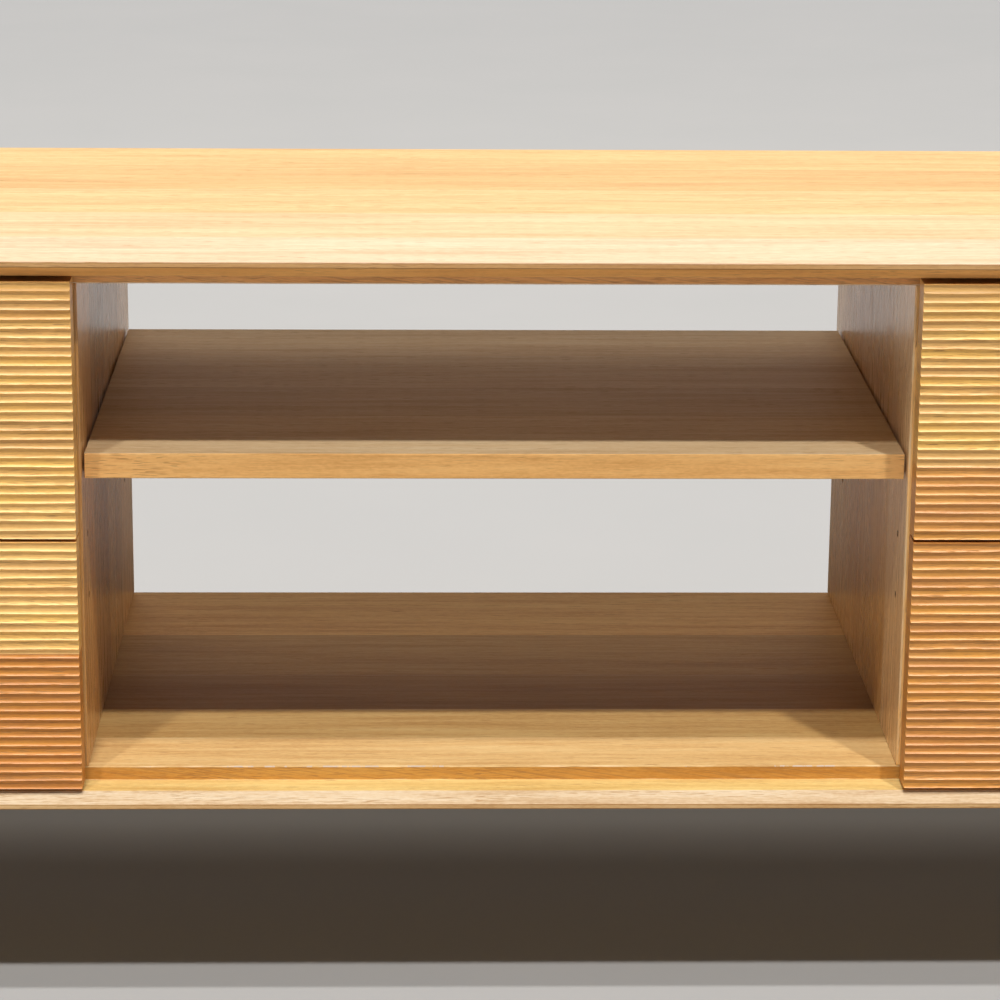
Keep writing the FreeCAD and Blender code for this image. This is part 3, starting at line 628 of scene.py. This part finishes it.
def oak(name, along, across, span, staves, seed=0, wear=0.5, roughness=0.4, gloss=0.5,
        tint=PLAIN, strips=None, chips=0.0, flutes=0, contrast=1.0):
    """Lacquered oak. The grain runs along one axis, and the board is glued from staves that
    lie across another, between the two ends of span. strips tints the facets of the front
    edge and the holes with painted light and shade, and flutes is how many hollows cut
    through the growth rings at different depths."""
    shader = Shader(name, Specular_IOR_Level=gloss)
    axes = shader.axes()
    through = 3 - along - across
    low, high = span
    share = shader.add("MapRange", {0: axes[across], 1: low, 2: high, 3: 0.0, 4: 1.0})
    # Each stave is cut from another part of the log.
    shift, pith = stave_draws(shader, share, staves, seed)
    place = shader.add("CombineXYZ", {
        index: shader.math("MULTIPLY_ADD", shift, LOG_SHIFT[index], axes[axis])
        for index, axis in enumerate((along, across, through))
    })
    bend = shader.noise(place, BEND_GRAIN)
    wander = shader.noise(place, WANDER_GRAIN)
    wander = shader.math("MULTIPLY_ADD", wander, 2 * GRAIN_WANDER, -GRAIN_WANDER)
    aside = shader.add("CombineXYZ", {1: wander})
    place = shader.add("VectorMath", {0: place, 1: aside}, operation="ADD")
    from_middle = shader.math("SUBTRACT", axes[across], (low + high) / 2)
    ring = growth_ring(shader, bend, from_middle, pith)
    figure, streak, fibre, pore = wood_figure(shader, place, ring)

    reach = FIGURE_REACH / contrast
    colour = shader.ramp(shader.spread(figure, FIGURE_MIDDLE - reach, FIGURE_MIDDLE + reach), [
        (0.0, OAK_PALE), (0.5, OAK_MID), (1.0, OAK_DARK),
    ])
    if flutes:
        colour = shader.tinted(colour, flute_tint(shader, share, axes[along], flutes))
    tints = [(start, stave_tint(tone, shade)) for start, tone, shade in staves]
    colour = shader.tinted(colour, shader.ramp(share, tints, "CONSTANT"))
    colour = shader.tinted(colour, (*tint, 1.0))
    if len(staves) > 1:
        seam = glue_seams(shader, share, staves, SEAM / (high - low))
        seam = shader.math("MULTIPLY", seam, SEAM_STRENGTH)
        colour = shader.mix(seam, colour, (*OAK_WORN, 1.0))
    # The facet tints are painted light and shade.
    if strips:
        facet = shader.attribute("facet")
        stops = [(MAIN, PLAIN)] + [(strip - FACET_MARGIN, shade) for strip, shade in strips.items()]
        colour = shader.tinted(colour, shader.ramp(facet, stops, "CONSTANT"))
        if STEP in strips:
            cut = slanted_cut(shader, facet, axes[along], axes[through])
            colour = shader.mix(cut, colour, (*OAK_PORE, 1.0))
    colour = shader.mix(shader.math("MULTIPLY", pore, PORE_STRENGTH), colour, (*OAK_PORE, 1.0))
    worn = worn_edges(shader, place, wear)
    colour = shader.mix(worn, colour, (*OAK_WORN, 1.0))
    if chips:
        chipped = shader.math("MULTIPLY", chipped_sill(shader, place, facet, axes[along]), chips)
        colour = shader.mix(chipped, colour, (*OAK_CHIP, 1.0))
    shader.set("Base Color", colour)

    rough = shader.math("MULTIPLY_ADD", streak, 0.16, roughness - 0.08)
    rough = shader.math("MULTIPLY_ADD", pore, 0.2, rough)
    shader.set("Roughness", shader.math("MULTIPLY_ADD", worn, 0.15, rough))
    relief = shader.math("MULTIPLY_ADD", fibre, 0.35, shader.math("MULTIPLY", streak, 0.5))
    relief = shader.math("SUBTRACT", relief, pore)
    shader.bump(relief, distance=0.25 * MM, strength=0.5)
    return shader


PLY = 1.33 * MM
BIRCH_PALE = (0.80, 0.66, 0.45)
BIRCH_MID = (0.72, 0.56, 0.35)
BIRCH_DARK = (0.60, 0.43, 0.24)
BIRCH_END_GRAIN = (0.46, 0.30, 0.16)
BIRCH_FLECK = (0.38, 0.23, 0.11)


def plywood(name, along, through, low, high):
    """Birch plywood: a plain pale face veneer, and its layers on the edges."""
    shader = Shader(name)
    axes = shader.axes()
    across = 3 - along - through
    plies = round((high - low) / PLY)
    deep = shader.math("SUBTRACT", axes[through], low)
    layer = shader.math("FLOOR", shader.math("MULTIPLY", deep, plies / (high - low)))
    crosswise = shader.math("FLOORED_MODULO", layer, 2.0)
    place = shader.add("CombineXYZ", {0: axes[along], 1: axes[across], 2: axes[through]})
    figure = shader.noise(place, (3.0, 26.0, 26.0), detail=3.0)
    streak = shader.noise(place, (9.0, 420.0, 420.0), detail=2.0)
    fleck = shader.spread(shader.noise(place, (60.0, 900.0, 900.0), detail=0.0), 0.66, 0.76)
    shade = shader.math("MULTIPLY_ADD", streak, 0.4, shader.math("MULTIPLY", figure, 0.6))
    colour = shader.ramp(shader.spread(shade, 0.3, 0.7), [
        (0.0, BIRCH_PALE), (0.5, BIRCH_MID), (1.0, BIRCH_DARK),
    ])
    colour = shader.mix(shader.math("MULTIPLY", crosswise, 0.55), colour, (*BIRCH_END_GRAIN, 1.0))
    colour = shader.mix(shader.math("MULTIPLY", fleck, 0.4), colour, (*BIRCH_FLECK, 1.0))
    shader.set("Base Color", colour)
    shader.set("Roughness", shader.math("MULTIPLY_ADD", streak, 0.2, 0.4))
    shader.bump(shader.math("SUBTRACT", streak, fleck), distance=0.15 * MM, strength=0.4)
    return shader


def metal(name, colour, roughness, grain, spots=0.0):
    """Plated steel with fine rolling marks and a slightly clouded finish. grain is the
    marks' features per metre along x, y and z."""
    shader = Shader(name, Metallic=1.0)
    place = shader.place()
    cloud = shader.noise(place, (35.0, 35.0, 35.0), detail=4.0)
    lines = shader.noise(place, grain, detail=2.0)
    dull = tuple(channel * 0.72 for channel in colour)
    clouded = shader.spread(cloud, 0.35, 0.75)
    shader.set("Base Color", shader.mix(clouded, (*colour, 1.0), (*dull, 1.0)))
    shade = shader.math("MULTIPLY_ADD", lines, 0.22, roughness - 0.11)
    shader.set("Roughness", shader.math("MULTIPLY_ADD", cloud, 0.12, shade))
    relief = shader.math("MULTIPLY_ADD", cloud, spots, lines)
    shader.bump(relief, distance=0.05 * MM, strength=0.4)
    return shader


def coating(name, colour, roughness, grain_size, relief):
    """Moulded plastic, powder coat or plain beech: a fine even texture with faint tone
    changes. grain_size is its coarseness and relief its height, in metres."""
    shader = Shader(name)
    place = shader.place()
    fine = shader.noise(place, (1 / grain_size,) * 3, detail=2.0)
    cloud = shader.noise(place, (60.0, 60.0, 60.0), detail=2.0)
    rubbed = tuple(min(1.0, channel * 1.35 + 0.01) for channel in colour)
    clouded = shader.spread(cloud, 0.4, 0.8)
    shader.set("Base Color", shader.mix(clouded, (*colour, 1.0), (*rubbed, 1.0)))
    shader.set("Roughness", shader.math("MULTIPLY_ADD", fine, 0.2, roughness - 0.1))
    shader.bump(fine, distance=relief, strength=0.6)
    return shader


# ---------------------------------------------------------------- the case

def span_of(node, axis):
    low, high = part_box(node)
    return low[axis], high[axis]


# The staves from front to back: (start, tone, shade), the start as a share of the depth.
# The top's front stave is near white: a painted highlight for the glare along the top's front. The
# other staves differ in tone.
TOP_STAVES = [
    (0.0, 0.06, 1.0), (0.194, 0.15, 1.0), (0.391, 0.23, 1.0), (0.598, 0.46, 1.0), (0.80, 0.31, 1.0),
]
# The bottom's staves carry painted shade: they are darkest where the shelf shades the bay's floor, in
# the middle of its depth.
BOTTOM_STAVES = [
    (0.0, 0.20, 0.86), (0.2, 0.27, 0.78), (0.34, 0.62, 0.56), (0.52, 0.48, 0.63), (0.74, 0.50, 0.95),
]
SHELF_STAVES = [(0.0, 0.34, 0.97), (0.27, 0.40, 0.9), (0.5, 0.32, 0.96), (0.76, 0.38, 1.0)]
# The dividers' staves carry painted light and shade: the right one's front stave is paled with
# painted light where the lamps light its front strip, and the left one's second stave is darkened
# with painted shade behind its lit front strip.
DIVIDER_STAVES = {
    "left": [(0.0, 0.66, 0.98), (0.21, 0.60, 0.70), (0.47, 0.36, 0.88), (0.75, 0.36, 1.04)],
    "right": [(0.0, 0.12, 1.12), (0.21, 0.34, 1.02), (0.5, 0.42, 1.05), (0.73, 0.30, 1.0)],
}
# The right divider's arris is paler than the left's: partly wear, partly a painted highlight where
# the lamps light it, while the left one lies in shade.
DIVIDER_WEAR_AND_HIGHLIGHT = {"left": 0.2, "right": 0.7}
# What the wood of each strip of a front edge is multiplied by: painted light and shade.
# Each strip is lightened or darkened as the lamps light it, and the creases get the darkest
# painted shade.
TOP_STRIPS = {
    LIP: (0.78, 0.60, 0.36), CREASE: (0.42, 0.29, 0.12), BEVEL: (1.02, 0.69, 0.31),
    LEDGE: (0.9, 0.7, 0.5), STEP: (1.0, 0.66, 0.30), SILL: PLAIN,
}
BOTTOM_STRIPS = {
    LIP: (1.06, 1.02, 1.12), CREASE: (0.60, 0.50, 0.45), BEVEL: (0.96, 1.12, 1.72),
    LEDGE: (1.09, 1.18, 1.05), STEP: (0.99, 0.75, 0.40), SILL: PLAIN,
}
# The shelf's front face is lightened with painted light where the lamps light it.
SHELF_STRIPS = {LIP: (1.33, 1.01, 0.63)}
# The left divider's front edge is darkened with painted shade from the drawer front beside it, the
# right one's lightened with painted light, and the drilled holes get painted shade.
DIVIDER_STRIPS = {
    "left": {LIP: (0.84, 0.78, 0.64), SILL: (0.16, 0.12, 0.09)},
    "right": {LIP: (1.15, 1.0, 0.68), SILL: (0.16, 0.12, 0.09)},
}
# The boards that have tints and finishes of their own.
BOTTOM_FINISH = {
    "strips": BOTTOM_STRIPS, "chips": 0.9, "roughness": 0.55, "gloss": 0.15,
    "tint": (0.97, 0.95, 0.85), "contrast": 1.35,
}
SHELF_FINISH = {
    "strips": SHELF_STRIPS, "wear": 0.2, "roughness": 0.55, "gloss": 0.2,
    "tint": (0.95, 1.14, 1.70),
}
DIVIDER_FINISH = {"roughness": 0.28, "gloss": 0.8, "tint": (1.12, 1.08, 1.0), "contrast": 0.75}


def make_case():
    depth_span = span_of("top_panel", Y)
    boards = {
        "top_panel": ((Z, 1), X, TOP_STAVES, {"strips": TOP_STRIPS}),
        "bottom_panel": ((Z, -1), X, BOTTOM_STAVES, BOTTOM_FINISH),
        "left_end_panel": ((X, -1), Z, random_staves(5, seed=3), {"strips": TOP_STRIPS}),
        "right_end_panel": ((X, 1), Z, random_staves(5, seed=4), {"strips": TOP_STRIPS}),
    }
    for index, (node, (outward, run, staves, finish)) in enumerate(boards.items()):
        wood = oak(node + "_oak", run, Y, depth_span, staves, seed=index, **finish)
        bm = outer_board(node, outward, run, wave=10.0 * index)
        add_piece(node + "_board", bm, wood.material, "oak_panel", node)
    for index, side in enumerate(SIDES):
        node = side + "_divider"
        wood = oak(node + "_oak", Z, Y, span_of(node, Y), DIVIDER_STAVES[side], seed=20 + index,
                   wear=DIVIDER_WEAR_AND_HIGHLIGHT[side], strips=DIVIDER_STRIPS[side], **DIVIDER_FINISH)
        bm = softened(node, radius=1.2 * MM)
        add_piece(node + "_board", bm, wood.material, "oak_panel", node)
        node = side + "_back_panel"
        staves = random_staves(6, seed=9 + index, darkest=0.5)
        wood = oak(node + "_oak", Z, X, span_of(node, X), staves, seed=30 + index)
        bm = softened(node, radius=0.4 * MM)
        add_piece(node + "_board", bm, wood.material, "oak_back_panel", node)
    wood = oak("shelf_oak", X, Y, span_of("shelf", Y), SHELF_STAVES, seed=40, **SHELF_FINISH)
    bm = softened("shelf", radius=0.9 * MM)
    add_piece("shelf_board", bm, wood.material, "oak_panel", "shelf")


def make_legs():
    legs = [f"{end}_{side}_leg" for end in ("front", "rear") for side in SIDES]
    for index, node in enumerate(legs):
        wood = oak(node + "_oak", Z, X, span_of(node, X), [(0.0, 0.4, 1.0)], seed=50 + index)
        add_piece(node + "_turned", turned_leg(node), wood.material, "oak_leg", node)


# ---------------------------------------------------------------- the drawers

# Each front is glued from two staves, from the bottom up. The second one starts this many
# flutes up, as a share of all the flutes.
FRONT_STAVES = {
    "upper_left": [(0.0, 0.30, 1.03), (9 / FLUTES, 0.36, 1.0)],
    "lower_left": [(0.0, 1.0, 0.96), (15.4 / FLUTES, 0.24, 1.07)],
    "upper_right": [(0.0, 0.78, 1.0), (8 / FLUTES, 0.30, 1.0)],
    "lower_right": [(0.0, 0.90, 0.97), (13 / FLUTES, 0.82, 1.0)],
}
# The LEDGE tint darkens the front's top face, in the gap under the top, with painted shade.
FRONT_FINISH = {
    "wear": 0.22, "tint": (1.18, 1.10, 0.85), "strips": {LEDGE: (0.58, 0.44, 0.38)},
    "flutes": FLUTES,
}


def make_drawer(drawer, seed):
    front = drawer + "_drawer_front"
    staves = FRONT_STAVES[drawer]
    wood = oak(front + "_oak", X, Z, span_of(front, Z), staves, seed=seed, **FRONT_FINISH)
    add_piece(front + "_board", fluted_board(front, seed), wood.material, "oak_fluted_front", front)
    # Each board of the drawer's box, with the axes of its grain and of its thickness.
    boards = {
        "drawer_box_front": (X, Y),
        "drawer_box_back": (X, Y),
        "drawer_left_side": (Y, X),
        "drawer_right_side": (Y, X),
        "drawer_bottom": (X, Z),
    }
    for board, (along, through) in boards.items():
        node = f"{drawer}_{board}"
        low, high = span_of(node, through)
        wood = plywood(node + "_ply", along, through, low, high)
        bm = softened(node, radius=0.5 * MM)
        add_piece(node + "_board", bm, wood.material, "drawer_box_wood", node)


# ---------------------------------------------------------------- the fittings

def make_fittings():
    """The small pieces keep their CAD meshes and get the finish that the record names."""
    finishes = {
        "beech_joinery": coating("raw_beech", (0.62, 0.42, 0.25), 0.6, 0.8 * MM, 0.1 * MM),
        "rail_steel": metal("zinc_rail", (0.64, 0.66, 0.68), 0.34, (2500.0, 12.0, 2500.0)),
        "plate_steel": coating("black_powder_coat", (0.02, 0.02, 0.022), 0.5, 0.35 * MM, 0.08 * MM),
        "fixing_steel": metal("zinc_fixing", (0.66, 0.66, 0.62), 0.36, (900.0, 900.0, 900.0), 0.5),
        "pin_steel": metal("nickel_pin", (0.70, 0.69, 0.66), 0.25, (60.0, 1500.0, 1500.0)),
        "latch_plastic": coating("grey_plastic", (0.32, 0.32, 0.33), 0.45, 0.3 * MM, 0.04 * MM),
        "glide_plastic": coating("dark_plastic", (0.025, 0.023, 0.022), 0.55, 0.4 * MM, 0.06 * MM),
    }
    for node in frame["nodes"].values():
        for holder in node.material_slots:
            finish = finishes.get(holder.material.name)
            if finish:
                holder.link = "OBJECT"
                holder.material = finish.material


# ---------------------------------------------------------------- floor, lights, camera

# The camera was fitted to the photograph. Metres, radians, and millimetres for the lens.
CAMERA_PLACE = Vector((-0.0595, -2.4924, 1.0064))
CAMERA_YAW = 0.0272
CAMERA_PITCH = 0.2714
CAMERA_ROLL = 0.0083
CAMERA_LENS = 123.98
SENSOR = 36.0


def make_camera():
    """A long lens at the front, a little above the top and turned slightly to the right."""
    data = bpy.data.cameras.new("camera")
    data.lens = CAMERA_LENS
    data.sensor_width = SENSOR
    data.clip_end = 100.0
    camera = bpy.data.objects.new("camera", data)
    bpy.context.scene.collection.objects.link(camera)
    level_right = Vector((math.cos(CAMERA_YAW), -math.sin(CAMERA_YAW), 0.0))
    level_ahead = Vector((math.sin(CAMERA_YAW), math.cos(CAMERA_YAW), 0.0))
    up = Vector((0.0, 0.0, 1.0))
    ahead = level_ahead * math.cos(CAMERA_PITCH) - up * math.sin(CAMERA_PITCH)
    plumb = level_right.cross(ahead)
    right = level_right * math.cos(CAMERA_ROLL) + plumb * math.sin(CAMERA_ROLL)
    top = right.cross(ahead)
    turned = Matrix((right, top, -ahead)).transposed().to_4x4()
    camera.matrix_world = Matrix.Translation(CAMERA_PLACE) @ turned
    bpy.context.scene.camera = camera


def add_sheet(name, corners, material):
    """One flat face of the surroundings."""
    bm = bmesh.new()
    bm.faces.new([bm.verts.new(corner) for corner in corners])
    mesh = bpy.data.meshes.new(name)
    bm.to_mesh(mesh)
    bm.free()
    mesh.materials.append(material)
    sheet = bpy.data.objects.new(name, mesh)
    bpy.context.scene.collection.objects.link(sheet)
    return sheet


FLOOR_REACH = 60.0
FLOOR_DARK = (0.36, 0.365, 0.37)
FLOOR_PALE = (0.385, 0.385, 0.39)


def make_floor():
    shader = Shader("pale_floor", Roughness=0.9)
    cloud = shader.noise(shader.place(), (3.0, 3.0, 3.0), detail=3.0)
    shader.set("Base Color", shader.mix(cloud, (*FLOOR_DARK, 1.0), (*FLOOR_PALE, 1.0)))
    reach = FLOOR_REACH
    corners = [(-reach, -reach), (reach, -reach), (reach, reach), (-reach, reach)]
    floor = add_sheet("floor", [(x, y, 0.0) for x, y in corners], shader.material)


# The card behind the cabinet, a sheet of painted shade: its size, its place, and its colours from the
# bottom up.
CARD_WIDTH = 3.0
CARD_HEIGHT = 0.22
CARD_DISTANCE = 0.28
CARD_LOW = (0.03, 0.027, 0.025)
CARD_HIGH = (0.24, 0.25, 0.27)


def add_reflection_card():
    """A low dark card behind the cabinet, which only reflections see: a sheet of painted shade
    that stands for the shaded surroundings down there, darker towards the bottom, so the
    polished inner sides reflect shade."""
    shader = Shader("dark_card", Roughness=1.0)
    rise = shader.spread(shader.axes()[Z], 0.05, 0.2)
    shader.set("Base Color", shader.mix(rise, (*CARD_LOW, 1.0), (*CARD_HIGH, 1.0)))
    half = CARD_WIDTH / 2
    y = cad_high.y + CARD_DISTANCE
    corners = [(-half, y, 0.0), (half, y, 0.0), (half, y, CARD_HEIGHT), (-half, y, CARD_HEIGHT)]
    card = add_sheet("reflection_card", corners, shader.material)
    card.visible_camera = False
    card.visible_diffuse = False
    card.visible_shadow = False


KEY_SOFTNESS = math.radians(2.6)
WHITE = (1.0, 1.0, 1.0)
WARM = (1.0, 0.97, 0.93)
SUNNY = (1.0, 0.92, 0.80)
WORLD_STRENGTH = 0.07


def aim(lamp, towards):
    """Turns a lamp to shine along a direction."""
    lamp.rotation_euler = Vector(towards).to_track_quat("-Z", "Y").to_euler()


def add_key(name, towards, strength, colour):
    """A distant lamp that shines along a direction, with soft-edged shadows."""
    data = bpy.data.lights.new(name, "SUN")
    data.angle = KEY_SOFTNESS
    data.energy = strength
    data.color = colour
    lamp = bpy.data.objects.new(name, data)
    bpy.context.scene.collection.objects.link(lamp)
    aim(lamp, towards)


def add_soft_box(name, place, width, height, power, colour=WHITE):
    """A wide lamp that faces the middle of the cabinet."""
    data = bpy.data.lights.new(name, "AREA")
    data.shape = "RECTANGLE"
    data.size = width
    data.size_y = height
    data.energy = power
    data.color = colour
    lamp = bpy.data.objects.new(name, data)
    bpy.context.scene.collection.objects.link(lamp)
    lamp.location = place
    aim(lamp, (cad_low + cad_high) / 2 - lamp.location)


def make_lights():
    """Two lamps high in front, one nearly overhead, soft boxes above, behind and in front,
    and pale surroundings."""
    add_key("key_right", (-0.274, 0.527, -1.0), 1.58, WARM)
    add_key("key_left", (0.23, 0.527, -1.0), 0.97, WARM)
    add_key("key_high", (0.02, 0.24, -1.0), 1.75, WARM)
    add_soft_box("soft_above", (0.0, -0.05, 3.6), 2.0, 0.8, 28.0)
    add_soft_box("soft_behind", (0.0, 6.6, 2.4), 9.0, 3.2, 50.0)
    add_soft_box("soft_rear", (0.0, 2.8, 3.4), 4.0, 1.6, 42.0, SUNNY)
    add_soft_box("soft_front", (0.0, -5.0, 1.3), 4.0, 1.4, 24.0, SUNNY)
    world = bpy.data.worlds.new("pale_room")
    world.use_nodes = True
    bpy.context.scene.world = world
    background = world.node_tree.nodes["Background"]
    background.inputs["Color"].default_value = (*WARM, 1.0)
    background.inputs["Strength"].default_value = WORLD_STRENGTH
    bpy.context.scene.view_settings.view_transform = "Standard"


make_camera()
make_floor()
add_reflection_card()
make_lights()
make_case()
make_legs()
for number, name in enumerate(DRAWERS):
    make_drawer(name, seed=60 + 7 * number)
make_fittings()
